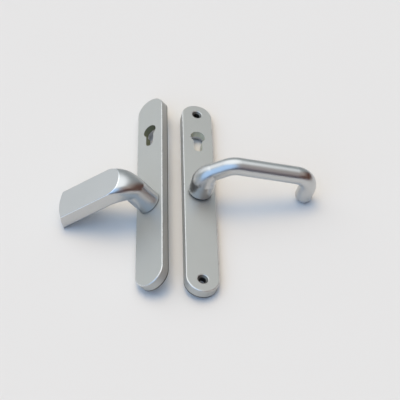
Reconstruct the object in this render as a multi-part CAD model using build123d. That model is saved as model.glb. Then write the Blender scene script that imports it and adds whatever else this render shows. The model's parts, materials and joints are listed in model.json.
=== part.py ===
from build123d import *
import math
import os

# Security door handle set, lying on a table as its two halves do when they are set down side by side.
# The outer half carries a fixed wing knob, the inner half a sprung lever. Each half is drawn flat in its
# own frame: X across the plate, Y along it towards the cylinder hole, Z out of the front face, with the
# origin on the lever's axis at the back face. It is then tipped over until its handle meets the table.

# Plates, the same outline on both halves
PLATE_LENGTH = 291.0
PLATE_WIDTH = 37.0
PLATE_THICKNESS = 11.0
PLATE_ABOVE_AXIS = 148.0
PLATE_EDGE_RADIUS = 1.4
BACK_PLATE_THICKNESS = 3.0
BACK_PLATE_RIM = 2.5
SEAT_CLEARANCE = 0.1

# Cylinder hole, a euro profile drawn with some room round the lock cylinder
CYLINDER_DISTANCE = 92.0
CYLINDER_HEAD_DIAMETER = 17.0
CYLINDER_LEG_WIDTH = 10.0
CYLINDER_LEG_REACH = 24.5
CYLINDER_CLEARANCE = 0.3

# Through screws between the two halves
FIXING_FROM_END = 16.5
FIXING_HOLE_DIAMETER = 7.2
FIXING_SINK_DIAMETER = 13.0
FIXING_SINK_DEPTH = 2.2
PRESS_NUT_WIDTH = 12.0
PRESS_NUT_SHANK_DIAMETER = 9.0
PRESS_NUT_THREAD_DIAMETER = 5.0
PRESS_NUT_HEIGHT = 8.5
HEXAGON_SIDES = 6

# Screws that hold each back plate in its recess
PLATE_SCREW_DIAMETER = 4.0
PLATE_SCREW_HEAD_DIAMETER = 7.5
PLATE_SCREW_LENGTH = 8.0
PLATE_SCREW_ABOVE_AXIS = 45.0
PLATE_SCREW_BELOW_AXIS = 75.0

# Wing knob, fixed on the outer plate
KNOB_BELOW_AXIS = 26.0
KNOB_NECK_DIAMETER = 28.4
KNOB_FOOT_EDGE = 1.0
KNOB_INNER_BEND = 10.0
KNOB_SHOULDER_ANGLE = 45.0
KNOB_SHOULDER_WIDTH = 38.5
KNOB_SHOULDER_HEIGHT = 25.0
KNOB_SHOULDER_CROWN = 4.0
KNOB_SHOULDER_BACK_RADIUS = 6.0
KNOB_SHOULDER_FRONT_RADIUS = 10.0
WING_HEIGHT = 37.7
WING_THICKNESS = 16.9
WING_WIDTH = 39.5
WING_CROWN = 3.0
WING_CUT = 2.5
WING_REACH = 83.2
WING_RISE = 2.8
WING_END_RADIUS = 50.0
WING_BACK_REACH = 90.5
WING_BACK_END_RADIUS = 150.0
WING_BACK_RADIUS = 3.0
WING_FRONT_RADIUS = 0.6
KNOB_SPIGOT_DIAMETER = 16.0
KNOB_SCREW_DIAMETER = 6.0
KNOB_SCREW_HEAD_DIAMETER = 11.5
KNOB_SCREW_LENGTH = 20.0
KNOB_PIN_DIAMETER = 3.0
KNOB_PIN_SPREAD = 10.8
KNOB_PIN_DEPTH = 6.0

# Lever, one round bar with a cranked neck and an end turned back to the door
BAR_DIAMETER = 20.0
LEVER_FOOT_DIAMETER = 27.4
LEVER_NECK_HEIGHT = 29.5
LEVER_CRANK = 26.0
LEVER_GRIP_HEIGHT = 49.5
LEVER_REACH = 117.5
LEVER_END_HEIGHT = 13.8
LEVER_NECK_BEND = 19.0
LEVER_NECK_SECTIONS = 5
LEVER_CRANK_BEND = 22.0
LEVER_RETURN_BEND = 17.0
LEVER_END_RADIUS = 6.5
LEVER_FOOT_EDGE = 0.8
LEVER_FOOT_GAP = 0.3
LEVER_TRAVEL = 45.0

# Bearing and spring behind the inner plate's face
FACE_SKIN = 2.5
POCKET_DIAMETER = 30.4
SHANK_DIAMETER = 16.0
SHANK_END_GAP = 1.0
SPINDLE_SQUARE = 8.2
SPINDLE_DEPTH = 30.0
BEARING_CLEARANCE = 0.05
BUSH_DIAMETER = 19.0
BUSH_COLLAR_DIAMETER = 24.0
BUSH_COLLAR_HEIGHT = 2.0
WASHER_DIAMETER = 20.0
WASHER_THICKNESS = 0.8
RING_DIAMETER = 20.0
RING_THICKNESS = 1.0
RING_GROOVE_DIAMETER = 15.0
RING_MOUTH = 10.0
DRIVER_DIAMETER = 28.8
DRIVER_THICKNESS = 1.5
DRIVER_SQUARE = 12.0
DRIVER_NOTCH_FLOOR = 20.4
RUNNING_GAP = 0.15
SPRING_STRIP = 0.9
SPRING_INNER_RADIUS = 10.6
SPRING_PITCH = 1.8
SPRING_TURNS = 2
SPRING_LEG = 10.0
SPRING_HOOK = 2.0
SPRING_TAB_WIDTH = 1.2
SPRING_TAB_LENGTH = 2.4
STOP_PIN_DIAMETER = 3.5
STOP_PIN_RADIUS = 12.6
GRUB_SCREW_DIAMETER = 6.0
GRUB_SCREW_LENGTH = 6.0
GRUB_SCREW_HEIGHT = 11.0
GRUB_SCREW_KEY = 3.0

# Where the outer half lies beside the inner half
HALVES_APART = 48.5
OUTER_HALF_SHIFT = 6.8
STEEPEST_TILT = 60.0
TILT_HALVINGS = 16

# Places that follow from the sizes above
PLATE_MIDDLE = PLATE_ABOVE_AXIS - PLATE_LENGTH / 2
FIXING_SPACING = PLATE_LENGTH - 2 * FIXING_FROM_END
FIXING_TOP = PLATE_ABOVE_AXIS - FIXING_FROM_END
FIXING_PLACES = [(0, FIXING_TOP), (0, FIXING_TOP - FIXING_SPACING)]
PLATE_SCREW_PLACES = [(0, PLATE_SCREW_ABOVE_AXIS), (0, -PLATE_SCREW_BELOW_AXIS)]
KNOB_PIN_PLACES = [(KNOB_PIN_SPREAD, 0), (-KNOB_PIN_SPREAD, 0)]
POCKET_TOP = PLATE_THICKNESS - FACE_SKIN
LEVER_FOOT = PLATE_THICKNESS + BUSH_COLLAR_HEIGHT + LEVER_FOOT_GAP
WASHER_BASE = POCKET_TOP - RUNNING_GAP - WASHER_THICKNESS
RING_BASE = WASHER_BASE - RING_THICKNESS
DRIVER_BASE = BACK_PLATE_THICKNESS + RUNNING_GAP
DRIVER_TOP = DRIVER_BASE + DRIVER_THICKNESS
SPRING_BASE = DRIVER_TOP + RUNNING_GAP
SPRING_HEIGHT = RING_BASE - RUNNING_GAP - SPRING_BASE
SPRING_OUTER_RADIUS = SPRING_INNER_RADIUS + SPRING_TURNS * SPRING_PITCH
THROUGH = 2 * PLATE_THICKNESS


def plate_outline(inset):
    """Stadium of a plate, drawn in all round by an inset."""
    slot = SlotOverall(PLATE_LENGTH - 2 * inset, PLATE_WIDTH - 2 * inset, rotation=90)
    return Pos(0, PLATE_MIDDLE) * slot


def cylinder_hole():
    """Cutter for the lock cylinder: a round head above a straight leg with a round foot."""
    leg_radius = CYLINDER_LEG_WIDTH / 2 + CYLINDER_CLEARANCE
    foot = -(CYLINDER_LEG_REACH + CYLINDER_CLEARANCE - leg_radius)
    head = Circle(CYLINDER_HEAD_DIAMETER / 2 + CYLINDER_CLEARANCE)
    leg = Pos(0, foot / 2) * Rectangle(2 * leg_radius, -foot)
    profile = Pos(0, CYLINDER_DISTANCE) * (head + leg + Pos(0, foot) * Circle(leg_radius))
    return extrude(profile, THROUGH, both=True)


def round_bar(diameter, bottom, top):
    """Round bar on the local Z axis between two heights."""
    return extrude(Plane.XY.offset(bottom) * Circle(diameter / 2), top - bottom)


def hexagon(width):
    """Hexagon measured across its flats."""
    return RegularPolygon(width / 2, HEXAGON_SIDES, major_radius=False)


def hexagon_bar(width, bottom, top):
    """Hexagonal bar on the local Z axis between two heights."""
    return extrude(Plane.XY.offset(bottom) * hexagon(width), top - bottom)


def sunk_screw(diameter, head_diameter, length, clearance):
    """Countersunk screw with its head flush at z = 0, or with a clearance the cutter for it."""
    shank = diameter / 2 + clearance
    head = head_diameter / 2 + clearance
    profile = Polyline((0, 0), (head, 0), (shank, head - shank), (shank, length), (0, length), close=True)
    return revolve(Plane.XZ * make_face(profile), Axis.Z)


def placed(shape, places):
    """One copy of a shape at each place on the plate."""
    return [Pos(*place) * shape for place in places]


def plate_blank():
    """Plate with its rounded front edge, the recess for its back plate and the cylinder hole."""
    blank = extrude(plate_outline(0), PLATE_THICKNESS)
    blank = fillet(blank.faces().sort_by(Axis.Z)[-1].edges(), PLATE_EDGE_RADIUS)
    blank -= extrude(plate_outline(BACK_PLATE_RIM), BACK_PLATE_THICKNESS)
    screw = round_bar(PLATE_SCREW_DIAMETER + 2 * SEAT_CLEARANCE, 0, PLATE_SCREW_LENGTH + SEAT_CLEARANCE)
    return blank - placed(screw, PLATE_SCREW_PLACES) - cylinder_hole()


def back_plate_blank():
    """Steel plate that fills the recess, with the cylinder hole and its own screw holes."""
    blank = extrude(plate_outline(BACK_PLATE_RIM + SEAT_CLEARANCE), BACK_PLATE_THICKNESS)
    screw = sunk_screw(PLATE_SCREW_DIAMETER, PLATE_SCREW_HEAD_DIAMETER, THROUGH, SEAT_CLEARANCE)
    return blank - placed(screw, PLATE_SCREW_PLACES) - cylinder_hole()


def plate_screws():
    """The countersunk screws of one back plate."""
    screw = sunk_screw(PLATE_SCREW_DIAMETER, PLATE_SCREW_HEAD_DIAMETER, PLATE_SCREW_LENGTH, 0)
    return Compound(placed(screw, PLATE_SCREW_PLACES))


def press_nut():
    """Threaded press nut: its shank sits in the steel plate, its hexagon in a pocket behind the face."""
    nut = round_bar(PRESS_NUT_SHANK_DIAMETER, 0, BACK_PLATE_THICKNESS)
    nut += hexagon_bar(PRESS_NUT_WIDTH, BACK_PLATE_THICKNESS, PRESS_NUT_HEIGHT)
    return nut - round_bar(PRESS_NUT_THREAD_DIAMETER, 0, PRESS_NUT_HEIGHT)


def outer_plate():
    """Outer plate: nothing but the cylinder hole and the knob's seat breaks its face."""
    nut_room = hexagon_bar(PRESS_NUT_WIDTH + 2 * SEAT_CLEARANCE, 0, PRESS_NUT_HEIGHT + SEAT_CLEARANCE)
    spigot = round_bar(KNOB_SPIGOT_DIAMETER + 2 * SEAT_CLEARANCE, 0, THROUGH)
    pin = round_bar(KNOB_PIN_DIAMETER + 2 * SEAT_CLEARANCE, 0, THROUGH)
    seat = [spigot] + placed(pin, KNOB_PIN_PLACES)
    return plate_blank() - placed(nut_room, FIXING_PLACES) - [at_knob(cutter) for cutter in seat]


def security_plate():
    """Hardened plate of the outer half, with holes for the press nuts and the knob screw."""
    nut_shank = round_bar(PRESS_NUT_SHANK_DIAMETER + 2 * SEAT_CLEARANCE, 0, THROUGH)
    knob_screw = sunk_screw(KNOB_SCREW_DIAMETER, KNOB_SCREW_HEAD_DIAMETER, THROUGH, SEAT_CLEARANCE)
    return back_plate_blank() - placed(nut_shank, FIXING_PLACES) - at_knob(knob_screw)


def at_knob(shape):
    """Moves a shape from the knob's axis to its place on the plate."""
    return Pos(0, -KNOB_BELOW_AXIS) * shape


def bend_height():
    """Height of the elbow's centre, level with the top of the straight neck."""
    return PLATE_THICKNESS + WING_HEIGHT - KNOB_INNER_BEND


def bend_plane(angle):
    """Plane of one section of the knob's elbow, fanned out from the inside of the bend."""
    turn = math.radians(angle)
    centre = (-KNOB_NECK_DIAMETER / 2 - KNOB_INNER_BEND, 0, bend_height())
    outwards = (math.cos(turn), 0, math.sin(turn))
    along = (-math.sin(turn), 0, math.cos(turn))
    return Plane(origin=centre, x_dir=outwards, z_dir=along) * Pos(KNOB_INNER_BEND, 0)


def crowned_section(height, width, crown, back_radius, front_radius):
    """Section with a flat back, straight sides and an arched front, its corners rounded."""
    side = width / 2
    shoulder = height - crown
    edges = Polyline((shoulder, side), (0, side), (0, -side), (shoulder, -side))
    arch = ThreePointArc((shoulder, -side), (height, 0), (shoulder, side))
    outline = make_face([edges, arch])
    outline = fillet(outline.vertices().group_by(Axis.X)[0], back_radius)
    return fillet(outline.vertices().group_by(Axis.X)[-1], front_radius)


def wing_end(depth):
    """Circle that ends the wing at a depth behind its front, wider and further out towards the back."""
    share = depth / WING_THICKNESS
    radius = WING_END_RADIUS + share * (WING_BACK_END_RADIUS - WING_END_RADIUS)
    reach = WING_REACH + share * (WING_BACK_REACH - WING_REACH)
    return Pos(radius - reach, 0, -depth) * Circle(radius)


def knob():
    """Cast knob: a round neck, an elbow that broadens into the wing, and the wing's flat front."""
    neck_radius = KNOB_NECK_DIAMETER / 2
    rise = math.radians(WING_RISE)
    root = -neck_radius - KNOB_INNER_BEND
    front_height = PLATE_THICKNESS + WING_HEIGHT + WING_THICKNESS

    neck = round_bar(KNOB_NECK_DIAMETER, PLATE_THICKNESS, bend_height())
    neck = fillet(neck.edges().group_by(Axis.Z)[0], KNOB_FOOT_EDGE)

    neck_end = bend_plane(0) * Pos(neck_radius, 0) * Circle(neck_radius)
    shoulder = bend_plane(KNOB_SHOULDER_ANGLE) * crowned_section(
        KNOB_SHOULDER_HEIGHT,
        KNOB_SHOULDER_WIDTH,
        KNOB_SHOULDER_CROWN,
        KNOB_SHOULDER_BACK_RADIUS,
        KNOB_SHOULDER_FRONT_RADIUS,
    )
    wing_root = bend_plane(90) * crowned_section(
        WING_THICKNESS + WING_CUT + WING_CROWN, WING_WIDTH, WING_CROWN, WING_BACK_RADIUS, WING_CUT
    )
    elbow = loft([neck_end, shoulder, wing_root])

    wing = extrude(wing_root, 2 * WING_REACH, dir=(-math.cos(rise), 0, math.sin(rise)))
    end_height = front_height + (WING_REACH + root) * math.tan(rise)
    wing &= Pos(0, 0, end_height) * loft([wing_end(2 * WING_THICKNESS), wing_end(-WING_CUT)])

    outwards = (math.sin(rise), 0, math.cos(rise))
    front = Plane(origin=(root, 0, front_height), x_dir=(0, 1, 0), z_dir=outwards)
    body = split(neck + elbow + wing, front, keep=Keep.BOTTOM)
    body = fillet(body.faces().sort_by(Axis.Z)[-1].edges(), WING_FRONT_RADIUS)
    body += round_bar(KNOB_SPIGOT_DIAMETER, BACK_PLATE_THICKNESS, PLATE_THICKNESS)
    body -= round_bar(KNOB_SCREW_DIAMETER + 2 * SEAT_CLEARANCE, 0, KNOB_SCREW_LENGTH + SEAT_CLEARANCE)
    pin_top = PLATE_THICKNESS + KNOB_PIN_DEPTH + SEAT_CLEARANCE
    body -= placed(round_bar(KNOB_PIN_DIAMETER + 2 * SEAT_CLEARANCE, 0, pin_top), KNOB_PIN_PLACES)
    return at_knob(body)


def knob_screw():
    """Screw from the back that draws the knob's spigot against the security plate."""
    return at_knob(sunk_screw(KNOB_SCREW_DIAMETER, KNOB_SCREW_HEAD_DIAMETER, KNOB_SCREW_LENGTH, 0))


def knob_pins():
    """Two dowel pins that keep the knob from turning."""
    pin = round_bar(KNOB_PIN_DIAMETER, BACK_PLATE_THICKNESS, PLATE_THICKNESS + KNOB_PIN_DEPTH)
    return Compound([at_knob(each) for each in placed(pin, KNOB_PIN_PLACES)])


def spring_leg(clearance):
    """Outline of the spring's straight outer leg, or with a clearance of the slot that holds it."""
    outline = Rectangle(SPRING_STRIP + 2 * clearance, SPRING_LEG + 2 * clearance)
    return Pos(SPRING_OUTER_RADIUS, SPRING_LEG / 2) * outline


def inner_plate():
    """Inner plate: sunk holes for the through screws, the bush hole, and the spring pocket behind."""
    hole = FIXING_HOLE_DIAMETER / 2
    sink = FIXING_SINK_DIAMETER / 2
    sink_floor = PLATE_THICKNESS - FIXING_SINK_DEPTH
    mouth = [(sink, PLATE_THICKNESS), (0, PLATE_THICKNESS)]
    profile = make_face(Polyline((0, 0), (hole, 0), (hole, sink_floor), *mouth, close=True))
    fixing = revolve(Plane.XZ * profile, Axis.Z)
    bush_hole = round_bar(BUSH_DIAMETER + 2 * SEAT_CLEARANCE, 0, THROUGH)
    pocket = round_bar(POCKET_DIAMETER, 0, POCKET_TOP)
    leg_slot = extrude(spring_leg(2 * RUNNING_GAP), POCKET_TOP)
    return plate_blank() - placed(fixing, FIXING_PLACES) - bush_hole - pocket - leg_slot


def support_plate():
    """Steel plate of the inner half: it closes the spring pocket and holds the stop pin."""
    fixing = round_bar(FIXING_HOLE_DIAMETER, 0, THROUGH)
    shank_hole = round_bar(SHANK_DIAMETER + 4 * RUNNING_GAP, 0, THROUGH)
    pin_hole = Pos(-STOP_PIN_RADIUS, 0) * round_bar(STOP_PIN_DIAMETER + 2 * SEAT_CLEARANCE, 0, THROUGH)
    return back_plate_blank() - placed(fixing, FIXING_PLACES) - shank_hole - pin_hole


def stop_pin():
    """Pin in the support plate that the driver's notch runs against."""
    return Pos(-STOP_PIN_RADIUS, 0) * round_bar(STOP_PIN_DIAMETER, 0, DRIVER_TOP)


def bearing_bush():
    """Flanged bush in the plate's face, with a collar that shows under the lever's foot."""
    bush = round_bar(BUSH_DIAMETER, POCKET_TOP, PLATE_THICKNESS)
    bush += round_bar(BUSH_COLLAR_DIAMETER, PLATE_THICKNESS, PLATE_THICKNESS + BUSH_COLLAR_HEIGHT)
    return bush - round_bar(SHANK_DIAMETER + 2 * BEARING_CLEARANCE, 0, THROUGH)


def squared_shank(clearance):
    """Squared end of the lever's shank, or with a clearance the driver's hole for it."""
    square = Rectangle(DRIVER_SQUARE + 2 * clearance, DRIVER_SQUARE + 2 * clearance)
    return square & Circle(SHANK_DIAMETER / 2 + clearance)


def lever_neck(turn, bend_start):
    """Neck of the lever: a round foot, drawn down to the bar's size as it goes through its bend."""
    foot_radius = LEVER_FOOT_DIAMETER / 2
    foot = round_bar(LEVER_FOOT_DIAMETER, LEVER_FOOT, bend_start)
    foot = fillet(foot.faces().sort_by(Axis.Z)[0].edges(), LEVER_FOOT_EDGE)
    sections = []
    for share in [step / LEVER_NECK_SECTIONS for step in range(LEVER_NECK_SECTIONS + 1)]:
        angle = share * turn
        sideways = LEVER_NECK_BEND * (1 - math.cos(angle))
        height = bend_start + LEVER_NECK_BEND * math.sin(angle)
        direction = (math.sin(angle), 0, math.cos(angle))
        plane = Plane(origin=(sideways, 0, height), x_dir=(0, 1, 0), z_dir=direction)
        sections.append(plane * Circle(foot_radius + share * (BAR_DIAMETER / 2 - foot_radius)))
    return foot + loft(sections)


def lever():
    """Bar bent in one plane, with a stout neck and the turned shank that runs in the bush."""
    grip = PLATE_THICKNESS + LEVER_GRIP_HEIGHT
    neck_corner = PLATE_THICKNESS + LEVER_NECK_HEIGHT
    turn = math.atan2(LEVER_CRANK, grip - neck_corner)
    bend_length = LEVER_NECK_BEND * math.tan(turn / 2)
    neck = lever_neck(turn, neck_corner - bend_length)

    bar_start = (bend_length * math.sin(turn), 0, neck_corner + bend_length * math.cos(turn))
    crank_corner = (LEVER_CRANK, 0, grip)
    return_corner = (LEVER_REACH, 0, grip)
    bar_end = (LEVER_REACH, 0, PLATE_THICKNESS + LEVER_END_HEIGHT)
    path = FilletPolyline(
        bar_start, crank_corner, return_corner, bar_end, radius=[LEVER_CRANK_BEND, LEVER_RETURN_BEND]
    )
    bar_plane = Plane(origin=bar_start, x_dir=(0, 1, 0), z_dir=(math.sin(turn), 0, math.cos(turn)))
    bar = sweep(bar_plane * Circle(BAR_DIAMETER / 2), path)
    bar = fillet(bar.edges().filter_by(GeomType.CIRCLE).sort_by(Axis.Z)[0], LEVER_END_RADIUS)

    shank = round_bar(SHANK_DIAMETER, DRIVER_TOP, LEVER_FOOT)
    shank += extrude(Plane.XY.offset(SHANK_END_GAP) * squared_shank(0), DRIVER_TOP - SHANK_END_GAP)
    groove = round_bar(SHANK_DIAMETER, RING_BASE, RING_BASE + RING_THICKNESS)
    groove -= round_bar(RING_GROOVE_DIAMETER, RING_BASE, RING_BASE + RING_THICKNESS)
    socket = extrude(Rectangle(SPINDLE_SQUARE, SPINDLE_SQUARE), SHANK_END_GAP + SPINDLE_DEPTH)
    return bar + neck + (shank - groove) - socket - grub_screw_hole()


def grub_screw_plane():
    """Plane across the grub screw where it meets the spindle, facing out of the neck's upper side."""
    origin = (0, SPINDLE_SQUARE / 2, LEVER_FOOT + GRUB_SCREW_HEIGHT)
    return Plane(origin=origin, x_dir=(1, 0, 0), z_dir=(0, 1, 0))


def grub_screw_hole():
    """Cutter for the threaded hole from the spindle's socket out of the neck."""
    hole = grub_screw_plane().offset(-SPINDLE_SQUARE / 2) * Circle(GRUB_SCREW_DIAMETER / 2 + SEAT_CLEARANCE)
    return extrude(hole, LEVER_FOOT_DIAMETER)


def grub_screw():
    """Socket set screw that clamps the spindle."""
    screw = extrude(grub_screw_plane() * Circle(GRUB_SCREW_DIAMETER / 2), GRUB_SCREW_LENGTH)
    key_face = grub_screw_plane().offset(GRUB_SCREW_LENGTH) * hexagon(GRUB_SCREW_KEY)
    return screw - extrude(key_face, -GRUB_SCREW_KEY)


def thrust_washer():
    """Washer between the bush and the retaining ring."""
    washer = round_bar(WASHER_DIAMETER, WASHER_BASE, WASHER_BASE + WASHER_THICKNESS)
    return washer - round_bar(SHANK_DIAMETER + 2 * SEAT_CLEARANCE, 0, THROUGH)


def retaining_ring():
    """Open ring in the shank's groove that keeps the lever from being pulled out."""
    ring = round_bar(RING_DIAMETER, RING_BASE, RING_BASE + RING_THICKNESS)
    ring -= round_bar(RING_GROOVE_DIAMETER, RING_BASE, RING_BASE + RING_THICKNESS)
    mouth = Pos(0, -RING_DIAMETER / 2, RING_BASE + RING_THICKNESS / 2)
    return ring - mouth * Box(RING_MOUTH, RING_DIAMETER, 2 * RING_THICKNESS)


def driver():
    """Disc on the squared shank: a notch that meets the stop pin, and a tab that winds the spring."""
    disc = Circle(DRIVER_DIAMETER / 2) - squared_shank(SEAT_CLEARANCE)
    pin_room = math.degrees(math.asin((STOP_PIN_DIAMETER / 2 + RUNNING_GAP) / STOP_PIN_RADIUS))
    first = 180 - pin_room
    sweep_angle = LEVER_TRAVEL + 2 * pin_room
    rim = CenterArc((0, 0), DRIVER_DIAMETER, first, sweep_angle)
    floor = CenterArc((0, 0), DRIVER_NOTCH_FLOOR / 2, first, sweep_angle)
    notch = make_face([rim, floor, Line(rim @ 0, floor @ 0), Line(rim @ 1, floor @ 1)])
    body = extrude(Plane.XY.offset(DRIVER_BASE) * (disc - notch), DRIVER_THICKNESS)
    tab_x = SHANK_DIAMETER / 2 + SEAT_CLEARANCE + SPRING_TAB_WIDTH / 2
    tab_y = SPRING_STRIP / 2 + RUNNING_GAP + SPRING_TAB_LENGTH / 2
    tab = Pos(tab_x, tab_y) * Rectangle(SPRING_TAB_WIDTH, SPRING_TAB_LENGTH)
    return body + extrude(Plane.XY.offset(DRIVER_TOP) * tab, RUNNING_GAP + SPRING_HEIGHT)


def return_spring():
    """Flat spiral strip: a hook behind the driver's tab, its turns, and a leg held in the plate."""
    side = 1
    reach = SPRING_INNER_RADIUS
    strip = Pos(reach - SPRING_HOOK / 2, 0) * Rectangle(SPRING_HOOK + SPRING_STRIP, SPRING_STRIP)
    for _ in range(2 * SPRING_TURNS):
        next_reach = reach + SPRING_PITCH / 2
        radius = (reach + next_reach) / 2
        ring = Circle(radius + SPRING_STRIP / 2) - Circle(radius - SPRING_STRIP / 2)
        half = Pos(0, side * reach) * Rectangle(4 * reach, 2 * reach)
        strip += Pos(side * (reach - next_reach) / 2, 0) * (ring & half)
        reach = next_reach
        side = -side
    strip += spring_leg(0)
    return extrude(Plane.XY.offset(SPRING_BASE) * strip, SPRING_HEIGHT)


def rest_tilt(handle, side):
    """Angle at which a half lies with the long edge on one side and its handle on the table."""
    edge = Pos(-side * PLATE_WIDTH / 2, 0, 0)
    low, high = 0.0, STEEPEST_TILT
    for _ in range(TILT_HALVINGS):
        middle = (low + high) / 2
        lowest = (Rot(0, side * middle, 0) * edge * handle).bounding_box().min.Z
        low, high = (middle, high) if lowest > 0 else (low, middle)
    return (low + high) / 2


def lie_down(handle, side):
    """Location that tips a half over its long edge on one side, down to the table."""
    tilt = rest_tilt(handle, side)
    lift = PLATE_WIDTH / 2 * math.sin(math.radians(tilt))
    return Pos(0, 0, lift) * Rot(0, side * tilt, 0)


outer_half = {
    "outer_plate": outer_plate(),
    "security_plate": security_plate(),
    "security_plate_screws": plate_screws(),
    "press_nut_top": Pos(*FIXING_PLACES[0]) * press_nut(),
    "press_nut_bottom": Pos(*FIXING_PLACES[1]) * press_nut(),
    "knob": knob(),
    "knob_screw": knob_screw(),
    "knob_pins": knob_pins(),
}
inner_half = {
    "inner_plate": inner_plate(),
    "support_plate": support_plate(),
    "support_plate_screws": plate_screws(),
    "stop_pin": stop_pin(),
    "bearing_bush": bearing_bush(),
    "lever": lever(),
    "grub_screw": grub_screw(),
    "thrust_washer": thrust_washer(),
    "retaining_ring": retaining_ring(),
    "driver": driver(),
    "return_spring": return_spring(),
}

# Both halves are set down side by side, and the origin goes to the table under the middle of their box
outer_place = Pos(-HALVES_APART, OUTER_HALF_SHIFT) * lie_down(outer_half["knob"], -1)
inner_place = lie_down(inner_half["lever"], 1)
pieces = {name: outer_place * shape for name, shape in outer_half.items()}
pieces.update({name: inner_place * shape for name, shape in inner_half.items()})
box = Compound(list(pieces.values())).bounding_box()
TO_ORIGIN = Pos(-box.center().X, -box.center().Y, -box.min.Z)

os.makedirs("parts", exist_ok=True)
for name, shape in pieces.items():
    export_step(TO_ORIGIN * shape, f"parts/{name}.step")
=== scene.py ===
"""Metal finishes, threaded fasteners and a studio stage for a two-part door handle set."""
import json
import math

import bmesh
import bpy
from bpy.props import FloatProperty, FloatVectorProperty, PointerProperty
from mathutils import Matrix, Vector


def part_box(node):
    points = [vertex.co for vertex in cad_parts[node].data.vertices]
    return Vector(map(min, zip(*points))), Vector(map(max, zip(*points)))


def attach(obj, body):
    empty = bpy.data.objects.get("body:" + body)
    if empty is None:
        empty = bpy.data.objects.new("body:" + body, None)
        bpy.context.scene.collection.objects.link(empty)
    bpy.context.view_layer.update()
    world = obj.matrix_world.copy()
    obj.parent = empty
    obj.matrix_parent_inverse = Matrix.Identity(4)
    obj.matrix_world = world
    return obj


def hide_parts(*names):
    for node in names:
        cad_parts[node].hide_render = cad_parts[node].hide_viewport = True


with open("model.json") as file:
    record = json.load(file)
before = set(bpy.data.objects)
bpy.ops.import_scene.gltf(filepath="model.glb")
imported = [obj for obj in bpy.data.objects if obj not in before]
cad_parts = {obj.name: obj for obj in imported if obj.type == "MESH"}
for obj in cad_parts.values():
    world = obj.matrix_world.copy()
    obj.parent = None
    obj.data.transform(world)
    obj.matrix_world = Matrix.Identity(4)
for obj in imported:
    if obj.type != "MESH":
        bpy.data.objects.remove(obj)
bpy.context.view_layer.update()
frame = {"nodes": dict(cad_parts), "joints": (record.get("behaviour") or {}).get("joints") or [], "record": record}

bl_info = {
    "name": "Door Handle Set",
    "version": (1, 0, 0),
    "blender": (4, 5, 0),
    "location": "View3D > Sidebar > Handle Set",
    "description": "Finishes, fastener details and a studio stage for a door handle set",
    "category": "Object",
}


def metres(mount, size):
    """Size of a mount, which the record gives in millimetres."""
    return mount["dims"][size + "_mm"] / 1000


MOUNTS = {mount["name"]: mount for mount in frame["record"]["mounts"]}
LEVER_JOINT = frame["joints"][0]
PLATE_THICKNESS = metres(MOUNTS["inner_cylinder_hole"], "length")
# From the middle of a cylinder hole's round head to the middle of its leg's round end
CYLINDER_DROP = 0.0195

# Sockets of a Mix node that mixes colours
MIX_FACTOR, MIX_FIRST, MIX_SECOND, MIX_RESULT = 0, 6, 7, 2

# Marks on the metal fade between two distances in metres
SUNK_FADE = (0.0001, 0.0006)  # below a plate's face
WALL_FADE = (0.0002, 0.0006)  # out from a cylinder hole's wall
SINK_FADE = (0.0, 0.0003)  # out from a countersink
BORE_FADE = (0.0, 0.0004)  # out from a screw hole's wall
BACK_SHADE_FADE = (0.0005, 0.0017)  # forward from a plate's back
RIM_HIGHLIGHT_FADE = (0.0002, 0.0009)  # from the level of the knob's flat
SEAM_SHADE_FADE = (0.0005, 0.0015)  # out from the plate under the knob
# and between two cosines of the angle that a surface makes with the front
EDGE_SIDE = (0.2, 0.5)
EDGE_FACE = (0.93, 0.99)
BACK_SIDE = (-0.6, -0.2)
RIM_HIGHLIGHT_FACE = (0.8, 0.97)
# A countersink lies within this many radii of its hole
SINK_REACH = 2
# Tints come in between two values of their noise
ZINC_TINT_FADE = (0.42, 0.66)
SPRING_TINT_FADE = (0.35, 0.7)
# Decimals to which the normals of one flat agree
FLAT_DECIMALS = 3

# How far the anodised plates mirror as bare metal does
PLATE_METAL = 0.75
# Burnished edges are this much smoother than the plate, and milled walls this much rougher
EDGE_GLOSS = 0.22
WALL_DULLNESS = 0.22

# Proportions of threads, in pitches
THREAD_DEPTH = 0.6
NUT_THREAD_DEPTH = 0.5
THREAD_ROOT = 0.05  # how far a thread reaches into what carries it
THREAD_MARGIN = 0.25  # plain length at each end
THREAD_STEPS = 24  # to a turn
# Proportions of screws
SCREW_SEGMENTS = 48
HEAD_CHAMFER = 0.06  # of the head's radius
TIP_TAPER = 0.75  # of the core's radius
SOCKET_IN_HEAD = 0.55  # of the cone's height
SOCKET_IN_SHANK = 0.4  # of the shank's radius

MERGE_DISTANCE = 1e-6
SHARP_ANGLE = math.radians(30.0)

FLOOR_SEGMENTS = 96
FLOOR_ROUGHNESS = 0.9
FLOOR_CLOUDING = 0.985  # darkest part of the floor against its colour

# The room's patches of light, each laid over those before it: the stage's property that lights it,
# its direction, and the angles from there, in degrees, between which it fades
ROOM_PATCHES = (
    ("warm_light", (0.85, -0.45, 0.10), 44.0, 66.0),
    ("unlit_light", (0.70, -0.70, -0.04), 28.0, 44.0),
    ("unlit_light", (1.0, 0.10, -0.04), 28.0, 44.0),
    ("front_light", (-0.20, -0.97, 0.04), 24.0, 42.0),
    ("window_light", (-0.42, -0.60, 0.68), 26.0, 42.0),
    ("softbox_light", (-0.65, 0.51, 0.56), 10.0, 36.0),
    ("ceiling_light", (-0.08, 0.30, 0.95), 24.0, 43.0),
)


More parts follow.
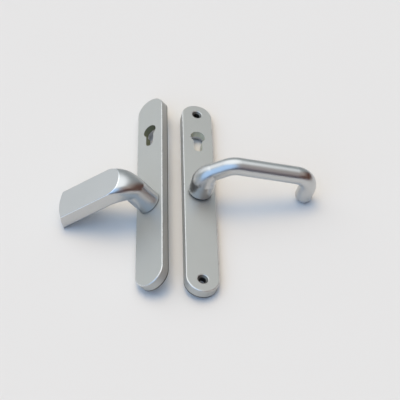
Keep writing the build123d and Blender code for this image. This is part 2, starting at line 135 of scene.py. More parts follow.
class Value:
    """A shader socket that Python arithmetic turns into Math nodes."""

    def __init__(self, tree, socket):
        self.tree = tree
        self.socket = socket

    def math(self, operation, *others):
        """Math node on this value and the others, in that order."""
        inputs = dict(enumerate((self, *others)))
        return node(self.tree, "ShaderNodeMath", {"operation": operation}, inputs)

    def reflected(self, operation, first):
        """Math node with this value second."""
        return node(self.tree, "ShaderNodeMath", {"operation": operation}, {0: first, 1: self})

    def __add__(self, other):
        return self.math("ADD", other)

    def __radd__(self, other):
        return self.reflected("ADD", other)

    def __sub__(self, other):
        return self.math("SUBTRACT", other)

    def __rsub__(self, other):
        return self.reflected("SUBTRACT", other)

    def __mul__(self, other):
        return self.math("MULTIPLY", other)

    def __rmul__(self, other):
        return self.reflected("MULTIPLY", other)

    def between(self, low, high):
        """0 below low, 1 above high and smooth in between."""
        settings = {"interpolation_type": "SMOOTHSTEP"}
        inputs = {"Value": self, "From Min": low, "From Max": high}
        return node(self.tree, "ShaderNodeMapRange", settings, inputs)

    def fading(self, low, high):
        """1 below low, 0 above high and smooth in between."""
        return 1.0 - self.between(low, high)


def node(tree, kind, settings=None, inputs=None, output=0):
    """Add one node: its settings first, then the values or links of its sockets."""
    made = tree.nodes.new(kind)
    for name, setting in (settings or {}).items():
        setattr(made, name, setting)
    for name, value in (inputs or {}).items():
        if isinstance(value, Value):
            tree.links.new(value.socket, made.inputs[name])
        else:
            made.inputs[name].default_value = value
    return Value(tree, made.outputs[output]) if made.outputs else None


def colour(rgb):
    """Colour socket value of three channels."""
    return (*rgb, 1.0)


def mixed(tree, factor, first, second):
    """Colour that goes from the first to the second as the factor grows."""
    inputs = {MIX_FACTOR: factor, MIX_FIRST: first, MIX_SECOND: second}
    return node(tree, "ShaderNodeMix", {"data_type": "RGBA"}, inputs, output=MIX_RESULT)


def blended(first, second, share):
    """Two noises in one, of which the second has a share."""
    return (1.0 - share) * first + share * second


def varied(mean, *spreads):
    """A mean that noises vary, each by its own spread."""
    value = mean
    for texture, spread in spreads:
        value = value + spread * (texture - 0.5)
    return value


def surface_point(tree, stretch=(1.0, 1.0, 1.0), turn=(0.0, 0.0, 0.0)):
    """Object coordinates, scaled and turned."""
    point = node(tree, "ShaderNodeTexCoord", output="Object")
    inputs = {"Vector": point, "Scale": stretch, "Rotation": turn}
    return node(tree, "ShaderNodeMapping", inputs=inputs)


def surface_normal(tree):
    """Normal of the surface in object coordinates."""
    return node(tree, "ShaderNodeTexCoord", output="Normal")


def noise(tree, point, scale, detail, roughness=0.5):
    """Noise value from 0 to 1 at a scale in features to the metre."""
    inputs = {"Vector": point, "Scale": scale, "Detail": detail, "Roughness": roughness}
    return node(tree, "ShaderNodeTexNoise", inputs=inputs)


def bumped(tree, height, depth, strength):
    """Normal of a surface whose height varies by a depth in metres."""
    inputs = {"Height": height, "Distance": depth, "Strength": strength}
    return node(tree, "ShaderNodeBump", inputs=inputs)


def along_axis(tree, vector, axis):
    """How far a vector goes along an axis."""
    settings = {"operation": "DOT_PRODUCT"}
    return node(tree, "ShaderNodeVectorMath", settings, {0: vector, 1: axis}, output="Value")


def apart(across, along):
    """Length of two offsets square to each other."""
    return (across * across + along * along).math("SQRT")


def new_material(name):
    """Empty node material."""
    material = bpy.data.materials.new(name)
    material.use_nodes = True
    material.node_tree.nodes.clear()
    return material


def surface(tree, **inputs):
    """Principled surface on the material's output."""
    sockets = {key.replace("_", " "): value for key, value in inputs.items()}
    shader = node(tree, "ShaderNodeBsdfPrincipled", inputs=sockets)
    node(tree, "ShaderNodeOutputMaterial", inputs={"Surface": shader})


def dress(material, *nodes):
    """Give CAD nodes a material."""
    for name in nodes:
        mesh = frame["nodes"][name].data
        mesh.materials.clear()
        mesh.materials.append(material)


def half_frame(back_mount):
    """Matrix of a half: X across its back face, Y up its centre line, Z out of the door."""
    mount = MOUNTS[back_mount]
    out = -Vector(mount["axis"])
    up = Vector((0.0, 1.0, 0.0))
    across = up.cross(out)
    turn = Matrix((across, up, out)).transposed().to_4x4()
    return Matrix.Translation((mount["pos_m"][0], 0.0, mount["pos_m"][2])) @ turn


def half_place(back_mount, along):
    """Matrix of a place up the centre line of a half's back face."""
    return half_frame(back_mount) @ Matrix.Translation((0.0, along, 0.0))


def half_point(tree, place):
    """Across, along and out of a half of the set, for its points."""
    point = node(tree, "ShaderNodeTexCoord", output="Object")
    inputs = {"Vector": point, "Location": place.translation, "Rotation": place.to_euler()}
    point = node(tree, "ShaderNodeMapping", {"vector_type": "TEXTURE"}, inputs)
    return [node(tree, "ShaderNodeSeparateXYZ", inputs={0: point}, output=axis) for axis in "XYZ"]


def widest_flat(name):
    """Normal and offset of the flat of a CAD node that shows most from above."""
    flats = {}
    for face in frame["nodes"][name].data.polygons:
        side = tuple(round(channel, FLAT_DECIMALS) for channel in face.normal)
        flats.setdefault(side, []).append(face)
    shown = max(flats.values(), key=lambda faces: sum(face.area * face.normal.z for face in faces))
    normal = shown[0].normal.copy()
    return normal, normal.dot(shown[0].center)


def satin_plate(name, finish, wall_colour, back_mount, hole_mount, fixings=None):
    """Blasted, anodised aluminium of a plate, with burnished edges lightened as a painted highlight, milled walls,
    and painted shade on the outer hole's walls, in the screw holes and along the back.
    """
    material = new_material(name)
    tree = material.node_tree
    place = half_frame(back_mount)
    across, along, out = half_point(tree, place)
    facing = along_axis(tree, surface_normal(tree), place.col[2].to_3d())
    sunk = (PLATE_THICKNESS - out).between(*SUNK_FADE)

    cloud = noise(tree, surface_point(tree), scale=28.0, detail=3.0)
    grain = noise(tree, surface_point(tree, stretch=(1.0, 0.06, 1.0)), scale=1500.0, detail=2.0)
    blast = noise(tree, surface_point(tree), scale=3600.0, detail=2.0)
    shade = blended(cloud, grain, share=0.38)
    base = mixed(tree, shade, colour(finish.plate_shade), colour(finish.plate_colour))

    head = MOUNTS[hole_mount]["pos_m"][1]
    nearest = along.math("MAXIMUM", head - CYLINDER_DROP).math("MINIMUM", head)
    from_wall = apart(across, along - nearest) - metres(MOUNTS[hole_mount], "r")
    milled = sunk * from_wall.fading(*WALL_FADE)
    edge = facing.between(*EDGE_SIDE) * facing.fading(*EDGE_FACE) * (1.0 - milled)
    if fixings:
        from_middle = (along - fixings["pos_m"][1]).math("ABSOLUTE")
        from_axis = apart(across, from_middle - metres(fixings, "pcd") / 2)
        hole = metres(fixings, "hole_r")
        # Painted shade: countersinks and bores are darkened to stand in for the shade in these recesses
        countersink = sunk * (from_axis - SINK_REACH * hole).fading(*SINK_FADE)
        bore = sunk * (from_axis - hole).fading(*BORE_FADE)
        edge = edge * (1.0 - countersink)
        base = mixed(tree, countersink, base, colour(finish.sink_shade_colour))
        base = mixed(tree, bore, base, colour(finish.bore_shade_colour))
    # Painted shade: a dark line along the plates' back edges stands in for the contact shadow beneath them
    back_line = out.fading(*BACK_SHADE_FADE) * facing.between(*BACK_SIDE) * (1.0 - milled)
    # Front edges: burnished, and lighter in colour partly as a painted highlight along the edge rounding
    base = mixed(tree, edge, base, colour(finish.edge_burnish_and_highlight_colour))
    # Hole walls: the outer plate's get a dark colour that is painted shade for the dim inside of the hole, the
    # inner plate's get the bare milled colour
    base = mixed(tree, milled, base, colour(wall_colour))
    base = mixed(tree, back_line, base, colour(finish.back_shade_colour))

    rough = varied(finish.plate_roughness, (grain, 0.10), (cloud, 0.08))
    rough = rough - EDGE_GLOSS * edge + WALL_DULLNESS * milled
    normal = bumped(tree, blended(blast, grain, share=0.4), depth=2e-5, strength=0.22)
    surface(tree, Base_Color=base, Metallic=PLATE_METAL, Roughness=rough, Normal=normal)
    return material


def satin_polish(tree, finish):
    """Colour, roughness and normal of satin polished cast aluminium."""
    drawn = surface_point(tree, stretch=(0.12, 1.0, 1.0), turn=(0.0, 0.0, 0.35))
    cloud = noise(tree, surface_point(tree), scale=45.0, detail=3.0)
    polish = noise(tree, drawn, scale=1300.0, detail=3.0)
    shade = blended(cloud, polish, share=0.3)
    base = mixed(tree, shade, colour(finish.handle_shade), colour(finish.handle_colour))
    rough = varied(finish.handle_roughness, (polish, 0.02), (cloud, 0.03))
    return base, rough, bumped(tree, polish, depth=1e-5, strength=0.04)


def polished_lever(finish):
    """Satin polished aluminium of the lever."""
    material = new_material("polished_lever")
    tree = material.node_tree
    base, rough, normal = satin_polish(tree, finish)
    surface(tree, Base_Color=base, Metallic=1.0, Roughness=rough, Normal=normal)
    return material


def polished_knob(finish):
    """Satin polished aluminium of the knob, with a painted highlight along its flat's rim and painted shade at its
    foot's seam.
    """
    material = new_material("polished_knob")
    tree = material.node_tree
    base, rough, normal = satin_polish(tree, finish)
    level, offset = widest_flat("knob")
    from_flat = (along_axis(tree, surface_point(tree), level) - offset).math("ABSOLUTE")
    facing = along_axis(tree, surface_normal(tree), level)
    # Painted highlight: a near white line along the rim of the knob's flat stands in for the light that its edge
    # catches
    rim = from_flat.fading(*RIM_HIGHLIGHT_FADE) * facing.fading(*RIM_HIGHLIGHT_FACE)
    out = half_point(tree, half_frame("outer_back"))[2]
    # Painted shade: a dark band where the knob's foot meets the plate stands in for the contact shadow there
    seam = (out - PLATE_THICKNESS).fading(*SEAM_SHADE_FADE)
    base = mixed(tree, rim, base, colour(finish.rim_highlight_colour))
    base = mixed(tree, seam, base, colour(finish.seam_shade_colour))
    surface(tree, Base_Color=base, Metallic=1.0, Roughness=rough, Normal=normal)
    return material


def zinc_sheet(finish):
    """Zinc plated sheet steel of the two back plates, clouded and marked by rolling."""
    material = new_material("zinc_sheet")
    tree = material.node_tree
    cloud = noise(tree, surface_point(tree), scale=60.0, detail=4.0, roughness=0.6)
    rolled = noise(tree, surface_point(tree, stretch=(1.0, 0.05, 1.0)), scale=900.0, detail=3.0)
    tint = cloud.between(*ZINC_TINT_FADE)
    base = mixed(tree, tint, colour(finish.zinc_colour), colour(finish.zinc_tint))
    rough = varied(finish.zinc_roughness, (cloud, 0.16), (rolled, 0.14))
    normal = bumped(tree, rolled, depth=3e-5, strength=0.3)
    surface(tree, Base_Color=base, Metallic=1.0, Roughness=rough, Normal=normal)
    return material


def bright_zinc(finish):
    """Bright zinc on screws, nuts and pins."""
    material = new_material("bright_zinc")
    tree = material.node_tree
    cloud = noise(tree, surface_point(tree), scale=420.0, detail=3.0)
    turned = noise(tree, surface_point(tree), scale=2600.0, detail=2.0)
    base = mixed(tree, cloud, colour(finish.zinc_tint), colour(finish.fastener_colour))
    rough = varied(finish.fastener_roughness, (cloud, 0.18))
    normal = bumped(tree, turned, depth=1.5e-5, strength=0.25)
    surface(tree, Base_Color=base, Metallic=1.0, Roughness=rough, Normal=normal)
    return material


def oiled_spring(finish):
    """Dark oil-tempered steel of the spring, its driver, the washer and the ring."""
    material = new_material("oiled_spring")
    tree = material.node_tree
    cloud = noise(tree, surface_point(tree), scale=180.0, detail=4.0, roughness=0.6)
    drawn = noise(tree, surface_point(tree, stretch=(1.0, 1.0, 0.2)), scale=1800.0, detail=2.0)
    tint = cloud.between(*SPRING_TINT_FADE)
    base = mixed(tree, tint, colour(finish.spring_colour), colour(finish.spring_tint))
    rough = varied(finish.spring_roughness, (cloud, 0.2))
    normal = bumped(tree, drawn, depth=2e-5, strength=0.3)
    surface(tree, Base_Color=base, Metallic=1.0, Roughness=rough, Normal=normal)
    return material


def moulded_bush(finish):
    """Black moulded plastic of the bearing bush, with a spark eroded texture."""
    material = new_material("moulded_bush")
    tree = material.node_tree
    cloud = noise(tree, surface_point(tree), scale=300.0, detail=2.0)
    spark = noise(tree, surface_point(tree), scale=5200.0, detail=3.0)
    base = mixed(tree, cloud, colour(finish.bush_colour), colour(finish.bush_tint))
    rough = varied(finish.bush_roughness, (spark, 0.2))
    normal = bumped(tree, spark, depth=3e-5, strength=0.4)
    surface(tree, Base_Color=base, Roughness=rough, Normal=normal)
    return material


def loops_extruded(bm, edges, radius_scale, rise):
    """Carry a loop on by a scale about the axis and a rise; returns the new loop's edges."""
    made = bmesh.ops.extrude_edge_only(bm, edges=edges)["geom"]
    corners = [item for item in made if isinstance(item, bmesh.types.BMVert)]
    bmesh.ops.scale(bm, verts=corners, vec=(radius_scale, radius_scale, 1.0))
    bmesh.ops.translate(bm, verts=corners, vec=(0.0, 0.0, rise))
    ring = set(corners)
    made_edges = (item for item in made if isinstance(item, bmesh.types.BMEdge))
    return [edge for edge in made_edges if set(edge.verts) <= ring]


def ring_of_edges(bm, segments, radius):
    """Open circle about the axis at the origin; returns its edges."""
    corners = bmesh.ops.create_circle(bm, cap_ends=False, segments=segments, radius=radius)["verts"]
    return list(dict.fromkeys(edge for corner in corners for edge in corner.link_edges))


def key_socket(bm, rim, key_width, depth):
    """Join a rim to a hexagon key socket that is sunk along +Z."""
    hexagon = ring_of_edges(bm, 6, key_width / math.sqrt(3.0))
    bmesh.ops.bridge_loops(bm, edges=rim + hexagon)
    floor = loops_extruded(bm, hexagon, 1.0, depth)
    bmesh.ops.edgeloop_fill(bm, edges=floor)


def thread(bm, root, crest, pitch, start, length):
    """Closed helical ridge of a V thread about the axis, between two radii."""
    turns = max(1.0, length / pitch - 1.0)
    steps = int(turns * THREAD_STEPS)
    section = [
        bm.verts.new((root, 0.0, start)),
        bm.verts.new((crest, 0.0, start + pitch / 2)),
        bm.verts.new((root, 0.0, start + pitch)),
    ]
    face = bm.faces.new(section)
    rise = turns * pitch / steps
    bmesh.ops.spin(
        bm, geom=[face], cent=(0.0, 0.0, 0.0), axis=(0.0, 0.0, 1.0), dvec=(0.0, 0.0, rise),
        angle=turns * math.tau, steps=steps, use_merge=False,
    )


def joined(bm, part):
    """Add a finished bmesh to another one."""
    mesh = bpy.data.meshes.new("joined")
    part.to_mesh(mesh)
    part.free()
    bm.from_mesh(mesh)
    bpy.data.meshes.remove(mesh)


def sunk_screw(bm, place, radius, head_radius, length, key_width, pitch):
    """Countersunk socket screw: head flush with the back face, shank along +Z."""
    part = bmesh.new()
    core = radius - THREAD_DEPTH * pitch
    chamfer = HEAD_CHAMFER * head_radius
    cone = head_radius - radius
    rim = ring_of_edges(part, SCREW_SEGMENTS, head_radius - chamfer)
    flank = loops_extruded(part, rim, head_radius / (head_radius - chamfer), chamfer)
    neck = loops_extruded(part, flank, radius / head_radius, cone - chamfer)
    shoulder = loops_extruded(part, neck, core / radius, radius - core)
    tip = loops_extruded(part, shoulder, 1.0, length - head_radius + core - pitch)
    end = loops_extruded(part, tip, TIP_TAPER, pitch)
    bmesh.ops.edgeloop_fill(part, edges=end)
    key_socket(part, rim, key_width, SOCKET_IN_HEAD * cone + SOCKET_IN_SHANK * radius)
    shank_start = head_radius - core
    thread_length = length - shank_start - 2 * THREAD_MARGIN * pitch
    thread(part, core - THREAD_ROOT * pitch, radius, pitch, shank_start, thread_length)
    bmesh.ops.transform(part, matrix=place, verts=part.verts)
    joined(bm, part)


def put_in_order(bm):
    """Sort edges and faces by their corners, because extruding leaves them in a chance order."""
    bm.verts.index_update()
    for parts in (bm.edges, bm.faces):
        ordered = sorted(parts, key=lambda part: sorted(corner.index for corner in part.verts))
        for index, part in enumerate(ordered):
            part.index = index
        parts.sort()


def closed_piece(bm, name, material, body, slot, *nodes):
    """Make the bmesh a piece that rides on a body and stands for the CAD nodes that are named."""
    bmesh.ops.remove_doubles(bm, verts=bm.verts, dist=MERGE_DISTANCE)
    bmesh.ops.recalc_face_normals(bm, faces=bm.faces)
    put_in_order(bm)
    mesh = bpy.data.meshes.new(name)
    bm.to_mesh(mesh)
    bm.free()
    mesh.materials.append(material)
    piece = bpy.data.objects.new(name, mesh)
    bpy.context.scene.collection.objects.link(piece)
    mesh.shade_smooth()
    mesh.set_sharp_from_angle(angle=SHARP_ANGLE)
    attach(piece, body)
    if nodes:
        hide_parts(*nodes)


class HandleSetFinishes(bpy.types.PropertyGroup):
    """Colours and gloss of the metals and the plastic."""

    plate_colour: FloatVectorProperty(
        name="Plate", description="Anodised plate where it is lightest", subtype="COLOR",
        default=(0.565, 0.57, 0.545), min=0.0, max=1.0)
    plate_shade: FloatVectorProperty(
        name="Plate shade", description="Anodised plate where it is darkest", subtype="COLOR",
        default=(0.495, 0.505, 0.49), min=0.0, max=1.0)
    plate_roughness: FloatProperty(
        name="Plate roughness", description="Mean roughness of the plates", subtype="FACTOR",
        default=0.50, min=0.0, max=1.0)
    # Burnished edge, lighter partly as a painted highlight
    edge_burnish_and_highlight_colour: FloatVectorProperty(
        name="Plate edge", description="Burnished front edge of the plates, lighter also as a painted highlight", subtype="COLOR",
        default=(0.73, 0.74, 0.73), min=0.0, max=1.0)
    milled_colour: FloatVectorProperty(
        name="Milled wall", description="Bare walls of the inner cylinder hole", subtype="COLOR",
        default=(0.73, 0.74, 0.64), min=0.0, max=1.0)
    # Painted shade: the dark outer hole walls stand in for the shade inside the hole
    shaded_wall_colour: FloatVectorProperty(
        name="Shaded wall", description="Painted shade on the walls of the outer cylinder hole",
        subtype="COLOR", default=(0.27, 0.28, 0.19), min=0.0, max=1.0)
    # Painted shade in the countersinks
    sink_shade_colour: FloatVectorProperty(
        name="Countersink", description="Painted shade in the countersinks of the screw holes", subtype="COLOR",
        default=(0.15, 0.155, 0.15), min=0.0, max=1.0)
    # Painted shade in the screw bores
    bore_shade_colour: FloatVectorProperty(
        name="Screw bore", description="Painted shade in the bores of the screw holes", subtype="COLOR",
        default=(0.03, 0.03, 0.03), min=0.0, max=1.0)
    # Painted shade line along the plates' back edges
    back_shade_colour: FloatVectorProperty(
        name="Back line", description="Painted shade line along the back edge of the plates",
        subtype="COLOR", default=(0.07, 0.07, 0.06), min=0.0, max=1.0)
    handle_colour: FloatVectorProperty(
        name="Handle", description="Knob and lever where they are lightest", subtype="COLOR",
        default=(0.62, 0.625, 0.62), min=0.0, max=1.0)
    handle_shade: FloatVectorProperty(
        name="Handle shade", description="Knob and lever where they are darkest", subtype="COLOR",
        default=(0.565, 0.575, 0.575), min=0.0, max=1.0)
    handle_roughness: FloatProperty(
        name="Handle roughness", description="Mean roughness of the knob and lever",
        subtype="FACTOR", default=0.305, min=0.0, max=1.0)
    # Painted highlight along the rim of the knob's flat
    rim_highlight_colour: FloatVectorProperty(
        name="Knob rim", description="Painted highlight along the rim of the knob's flat", subtype="COLOR",
        default=(0.96, 0.98, 1.0), min=0.0, max=1.0)
    # Painted shade at the knob's foot
    seam_shade_colour: FloatVectorProperty(
        name="Knob seam", description="Painted shade where the knob meets its plate",
        subtype="COLOR", default=(0.14, 0.15, 0.18), min=0.0, max=1.0)
    zinc_colour: FloatVectorProperty(
        name="Zinc", description="Plating of the back plates", subtype="COLOR",
        default=(0.68, 0.69, 0.71), min=0.0, max=1.0)
    zinc_tint: FloatVectorProperty(
        name="Zinc tint", description="Clouding of the plating", subtype="COLOR",
        default=(0.57, 0.60, 0.65), min=0.0, max=1.0)
    zinc_roughness: FloatProperty(
        name="Zinc roughness", description="Mean roughness of the back plates", subtype="FACTOR",
        default=0.42, min=0.0, max=1.0)
    fastener_colour: FloatVectorProperty(
        name="Fasteners", description="Bright zinc of screws, nuts and pins", subtype="COLOR",
        default=(0.79, 0.80, 0.81), min=0.0, max=1.0)
    fastener_roughness: FloatProperty(
        name="Fastener roughness", description="Mean roughness of screws, nuts and pins",
        subtype="FACTOR", default=0.30, min=0.0, max=1.0)
    spring_colour: FloatVectorProperty(
        name="Spring", description="Oil-tempered spring steel", subtype="COLOR",
        default=(0.23, 0.24, 0.26), min=0.0, max=1.0)
    spring_tint: FloatVectorProperty(
        name="Spring tint", description="Blueing of the spring steel", subtype="COLOR",
        default=(0.32, 0.33, 0.38), min=0.0, max=1.0)
    spring_roughness: FloatProperty(
        name="Spring roughness", description="Mean roughness of the spring steel",
        subtype="FACTOR", default=0.36, min=0.0, max=1.0)
    bush_colour: FloatVectorProperty(
        name="Bush", description="Black plastic of the bush", subtype="COLOR",
        default=(0.018, 0.018, 0.019), min=0.0, max=1.0)
    bush_tint: FloatVectorProperty(
        name="Bush tint", description="Paler flow marks of the bush", subtype="COLOR",
        default=(0.030, 0.030, 0.032), min=0.0, max=1.0)
    bush_roughness: FloatProperty(
        name="Bush roughness", description="Mean roughness of the bush", subtype="FACTOR",
        default=0.42, min=0.0, max=1.0)


class HandleSetFasteners(bpy.types.PropertyGroup):
    """Sizes of the screws and nuts that show their threads and sockets."""

    plate_screw_diameter: FloatProperty(
        name="Plate screw", description="Thread of the back plate screws", unit="LENGTH",
        default=0.004)
    plate_screw_head: FloatProperty(
        name="Plate screw head", description="Head of the back plate screws", unit="LENGTH",
        default=0.0075)
    plate_screw_length: FloatProperty(
        name="Plate screw length", description="Whole length of the back plate screws",
        unit="LENGTH", default=0.008)
    plate_screw_key: FloatProperty(
        name="Plate screw key", description="Hexagon key of the back plate screws", unit="LENGTH",
        default=0.0025)
    plate_screw_pitch: FloatProperty(
        name="Plate screw pitch", description="Thread pitch of the back plate screws",
        unit="LENGTH", default=0.0007)
    knob_screw_diameter: FloatProperty(
        name="Knob screw", description="Thread of the knob screw", unit="LENGTH", default=0.006)
    knob_screw_head: FloatProperty(
        name="Knob screw head", description="Head of the knob screw", unit="LENGTH",
        default=0.0115)
    knob_screw_length: FloatProperty(
        name="Knob screw length", description="Whole length of the knob screw", unit="LENGTH",
        default=0.020)
    knob_screw_key: FloatProperty(
        name="Knob screw key", description="Hexagon key of the knob screw", unit="LENGTH",
        default=0.004)
    knob_screw_pitch: FloatProperty(
        name="Knob screw pitch", description="Thread pitch of the knob screw", unit="LENGTH",
        default=0.001)
    nut_pitch: FloatProperty(
        name="Nut pitch", description="Thread pitch of the press nuts", unit="LENGTH",
        default=0.0008)


class HandleSetStage(bpy.types.PropertyGroup):
    """Camera, floor and light."""

    focal_length: FloatProperty(
        name="Focal length", description="Lens on a 36 mm sensor", unit="CAMERA", default=93.61)
    camera_offset: FloatVectorProperty(
        name="Camera", description="Camera seen from where the lever's axis meets the door",
        subtype="TRANSLATION", default=(-0.01934, -0.81728, 0.87377))
    camera_tilt: FloatProperty(
        name="Camera tilt", description="How far the camera looks down", subtype="ANGLE",
        default=math.radians(46.83))
    camera_turn: FloatProperty(
        name="Camera turn", description="How far the camera looks to the right", subtype="ANGLE",
        default=math.radians(1.55))
    floor_colour: FloatVectorProperty(
        name="Floor", description="Pale floor", subtype="COLOR", default=(0.742, 0.756, 0.770),
        min=0.0, max=1.0)
    floor_radius: FloatProperty(
        name="Floor radius", description="Radius of the round floor", unit="LENGTH", default=8.0)
    key_colour: FloatVectorProperty(
        name="Key", description="Colour of the overhead lamp", subtype="COLOR",
        default=(1.0, 0.65, 0.24), min=0.0, max=1.0)
    key_strength: FloatProperty(
        name="Key strength", description="Strength of the overhead lamp", default=0.93)
    key_spread: FloatProperty(
        name="Key spread", description="Width of the overhead lamp", subtype="ANGLE",
        default=math.radians(32.0))
    key_direction: FloatVectorProperty(
        name="Key direction", description="Where the overhead lamp hangs", subtype="DIRECTION",
        default=(-0.10, 0.28, 0.95))
    wall_light: FloatVectorProperty(
        name="Walls", description="Light of the room's walls", subtype="COLOR",
        default=(0.375, 0.41, 0.42), min=0.0)
    warm_light: FloatVectorProperty(
        name="Warm wall", description="Light of the wall round the room's dark side",
        subtype="COLOR", default=(0.46, 0.38, 0.34), min=0.0)
    unlit_light: FloatVectorProperty(
        name="Unlit side", description="Light of the room's dark side", subtype="COLOR",
        default=(0.085, 0.018, 0.003), min=0.0)
    front_light: FloatVectorProperty(
        name="Front", description="Light low at the camera's side", subtype="COLOR",
        default=(0.045, 0.055, 0.10), min=0.0)
    window_light: FloatVectorProperty(
        name="Window", description="Daylight from the front left", subtype="COLOR",
        default=(0.65, 0.95, 1.39), min=0.0)
    softbox_light: FloatVectorProperty(
        name="Softbox", description="Light of the softbox at the back left", subtype="COLOR",
        default=(1.07, 1.11, 1.145), min=0.0)
    ceiling_light: FloatVectorProperty(
        name="Ceiling", description="Light of the ceiling above the set", subtype="COLOR",
        default=(1.48, 1.53, 1.56), min=0.0)


class HANDLESET_OT_plates(bpy.types.Operator):
    """Finish the two plates"""

    bl_idname = "handleset.plates"
    bl_label = "Plates"

    def execute(self, context):
        finish = context.scene.handle_set_finishes
        outer = satin_plate(
            "satin_outer_plate", finish, finish.shaded_wall_colour, "outer_back",
            "outer_cylinder_hole")
        inner = satin_plate(
            "satin_inner_plate", finish, finish.milled_colour, "inner_back",
            "inner_cylinder_hole", MOUNTS["through_screws"])
        dress(outer, "outer_plate")
        dress(inner, "inner_plate")
        return {"FINISHED"}


class HANDLESET_OT_handles(bpy.types.Operator):
    """Finish the knob and the lever"""

    bl_idname = "handleset.handles"
    bl_label = "Knob and lever"

    def execute(self, context):
        finish = context.scene.handle_set_finishes
        dress(polished_knob(finish), "knob")
        dress(polished_lever(finish), "lever")
        return {"FINISHED"}


class HANDLESET_OT_back_plates(bpy.types.Operator):
    """Finish the two steel back plates"""

    bl_idname = "handleset.back_plates"
    bl_label = "Back plates"

    def execute(self, context):
        finish = context.scene.handle_set_finishes
        dress(zinc_sheet(finish), "security_plate", "support_plate")
        return {"FINISHED"}


class HANDLESET_OT_bearing(bpy.types.Operator):
    """Finish the bearing bush, the return spring and what turns with it"""

    bl_idname = "handleset.bearing"
    bl_label = "Bearing and spring"

    def execute(self, context):
        finish = context.scene.handle_set_finishes
        dress(moulded_bush(finish), "bearing_bush")
        dress(oiled_spring(finish), "return_spring", "retaining_ring", "thrust_washer", "driver")
        return {"FINISHED"}


class HANDLESET_OT_fasteners(bpy.types.Operator):
    """Finish the plain fasteners and build the screws and threads that show their detail"""

    bl_idname = "handleset.fasteners"
    bl_label = "Fasteners"

    def execute(self, context):
        sizes = context.scene.handle_set_fasteners
        steel = bright_zinc(context.scene.handle_set_finishes)
        dress(steel, "knob_pins", "stop_pin", "grub_screw", "press_nut_top", "press_nut_bottom")
        head = sizes.plate_screw_head / 2
        halves = (("security_plate_screws", "outer_back"), ("support_plate_screws", "inner_back"))
        for screws, back in halves:
            low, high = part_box(screws)
            self.screws(screws, "plate_screw", back, (low.y + head, high.y - head), sizes, steel)
        low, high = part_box("knob_screw")
        middle = (low.y + high.y) / 2
        self.screws("knob_screw", "knob_screw", "outer_back", (middle,), sizes, steel)
        for end in ("top", "bottom"):
            mount = MOUNTS["press_nut_thread_" + end]
            self.nut_thread("press_nut_" + end, mount, sizes.nut_pitch, steel)
        return {"FINISHED"}

    def screws(self, replaced, kind, back, places, sizes, steel):
        """Screws of one kind at places along a half, as one piece that stands for a CAD node."""
        diameter, head, length, key, pitch = (
            getattr(sizes, f"{kind}_{size}")
            for size in ("diameter", "head", "length", "key", "pitch"))
        bm = bmesh.new()
        for along in places:
            place = half_place(back, along)
            sunk_screw(bm, place, diameter / 2, head / 2, length, key, pitch)
        closed_piece(bm, replaced + "_threaded", steel, "plates", "fastener_steel", replaced)

    def nut_thread(self, nut, mount, pitch, steel):
        """Thread inside a press nut."""
        bm = bmesh.new()
        radius, margin = metres(mount, "r"), THREAD_MARGIN * pitch
        root, crest = radius + THREAD_ROOT * pitch, radius - NUT_THREAD_DEPTH * pitch
        thread(bm, root, crest, pitch, margin, metres(mount, "length") - 2 * margin)
        place = half_place("outer_back", mount["pos_m"][1])
        bmesh.ops.transform(bm, matrix=place, verts=bm.verts)
        closed_piece(bm, nut + "_thread", steel, "plates", "fastener_steel")


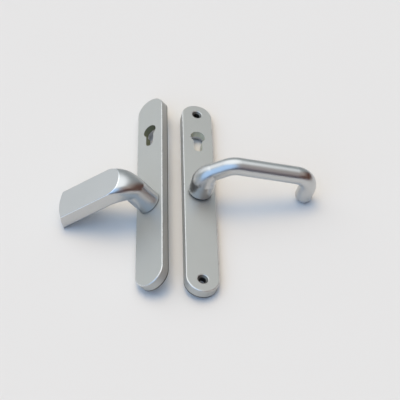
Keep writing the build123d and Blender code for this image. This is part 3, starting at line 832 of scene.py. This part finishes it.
class HANDLESET_OT_stage(bpy.types.Operator):
    """Set the floor, the light and the camera"""

    bl_idname = "handleset.stage"
    bl_label = "Stage"

    def execute(self, context):
        stage = context.scene.handle_set_stage
        self.floor(context, stage)
        self.key_light(context, stage)
        self.room(context, stage)
        self.camera(context, stage)
        context.scene.view_settings.view_transform = "Standard"
        return {"FINISHED"}

    def floor(self, context, stage):
        """Round pale floor."""
        bm = bmesh.new()
        bmesh.ops.create_circle(
            bm, cap_ends=True, segments=FLOOR_SEGMENTS, radius=stage.floor_radius)
        mesh = bpy.data.meshes.new("floor")
        bm.to_mesh(mesh)
        bm.free()
        material = new_material("pale_floor")
        tree = material.node_tree
        cloud = noise(tree, surface_point(tree), scale=3.0, detail=2.0)
        darker = [FLOOR_CLOUDING * channel for channel in stage.floor_colour]
        base = mixed(tree, cloud, colour(darker), colour(stage.floor_colour))
        surface(tree, Base_Color=base, Roughness=FLOOR_ROUGHNESS)
        mesh.materials.append(material)
        floor = bpy.data.objects.new("floor", mesh)
        context.scene.collection.objects.link(floor)

    def key_light(self, context, stage):
        """Warm lamp overhead, leaning to the back."""
        light = bpy.data.lights.new("key", "SUN")
        light.color = stage.key_colour
        light.energy = stage.key_strength
        light.angle = stage.key_spread
        key = bpy.data.objects.new("key", light)
        key.rotation_euler = Vector(stage.key_direction).to_track_quat("Z", "Y").to_euler()
        # Flat metal that mirrors the lamp would clip, so the ceiling gives the highlights
        key.visible_glossy = False
        context.scene.collection.objects.link(key)

    def room(self, context, stage):
        """Soft light from all round: even walls with patches of other light on them."""
        world = bpy.data.worlds.new("room")
        world.use_nodes = True
        tree = world.node_tree
        tree.nodes.clear()
        sight = node(tree, "ShaderNodeTexCoord", output="Generated")
        light = colour(stage.wall_light)
        for patch_light, direction, inner, outer in ROOM_PATCHES:
            cosine = along_axis(tree, sight, Vector(direction).normalized())
            patch = cosine.between(math.cos(math.radians(outer)), math.cos(math.radians(inner)))
            light = mixed(tree, patch, light, colour(getattr(stage, patch_light)))
        shader = node(tree, "ShaderNodeBackground", inputs={"Color": light})
        node(tree, "ShaderNodeOutputWorld", inputs={"Surface": shader})
        context.scene.world = world

    def camera(self, context, stage):
        """Camera at the photograph's angle."""
        foot = Vector(LEVER_JOINT["pos_m"]) - PLATE_THICKNESS * Vector(LEVER_JOINT["axis"])
        lens = bpy.data.cameras.new("camera")
        lens.lens = stage.focal_length
        camera = bpy.data.objects.new("camera", lens)
        camera.location = Vector((foot.x, foot.y, 0.0)) + Vector(stage.camera_offset)
        camera.rotation_euler = (math.pi / 2 - stage.camera_tilt, 0.0, -stage.camera_turn)
        context.scene.collection.objects.link(camera)
        context.scene.camera = camera


class HANDLESET_PT_sidebar(bpy.types.Panel):
    """Sidebar panel of the handle set"""

    bl_label = "Handle Set"
    bl_space_type = "VIEW_3D"
    bl_region_type = "UI"
    bl_category = "Handle Set"

    def draw(self, context):
        for operator in OPERATORS:
            self.layout.operator(operator.bl_idname)
        for group in GROUPS:
            settings = getattr(context.scene, group)
            for name in settings.__annotations__:
                self.layout.prop(settings, name)


OPERATORS = (
    HANDLESET_OT_plates,
    HANDLESET_OT_handles,
    HANDLESET_OT_back_plates,
    HANDLESET_OT_bearing,
    HANDLESET_OT_fasteners,
    HANDLESET_OT_stage,
)
GROUPS = {
    "handle_set_finishes": HandleSetFinishes,
    "handle_set_fasteners": HandleSetFasteners,
    "handle_set_stage": HandleSetStage,
}


def register():
    """Register the settings, the operators and the panel."""
    for group, properties in GROUPS.items():
        bpy.utils.register_class(properties)
        setattr(bpy.types.Scene, group, PointerProperty(type=properties))
    for cls in (*OPERATORS, HANDLESET_PT_sidebar):
        bpy.utils.register_class(cls)


def unregister():
    """Take them all back, the panel first."""
    for cls in (HANDLESET_PT_sidebar, *OPERATORS):
        bpy.utils.unregister_class(cls)
    for group, properties in GROUPS.items():
        delattr(bpy.types.Scene, group)
        bpy.utils.unregister_class(properties)


def main():
    """Dress the set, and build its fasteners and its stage."""
    register()
    bpy.ops.handleset.plates()
    bpy.ops.handleset.handles()
    bpy.ops.handleset.back_plates()
    bpy.ops.handleset.bearing()
    bpy.ops.handleset.fasteners()
    bpy.ops.handleset.stage()


if __name__ == "__main__":
    main()
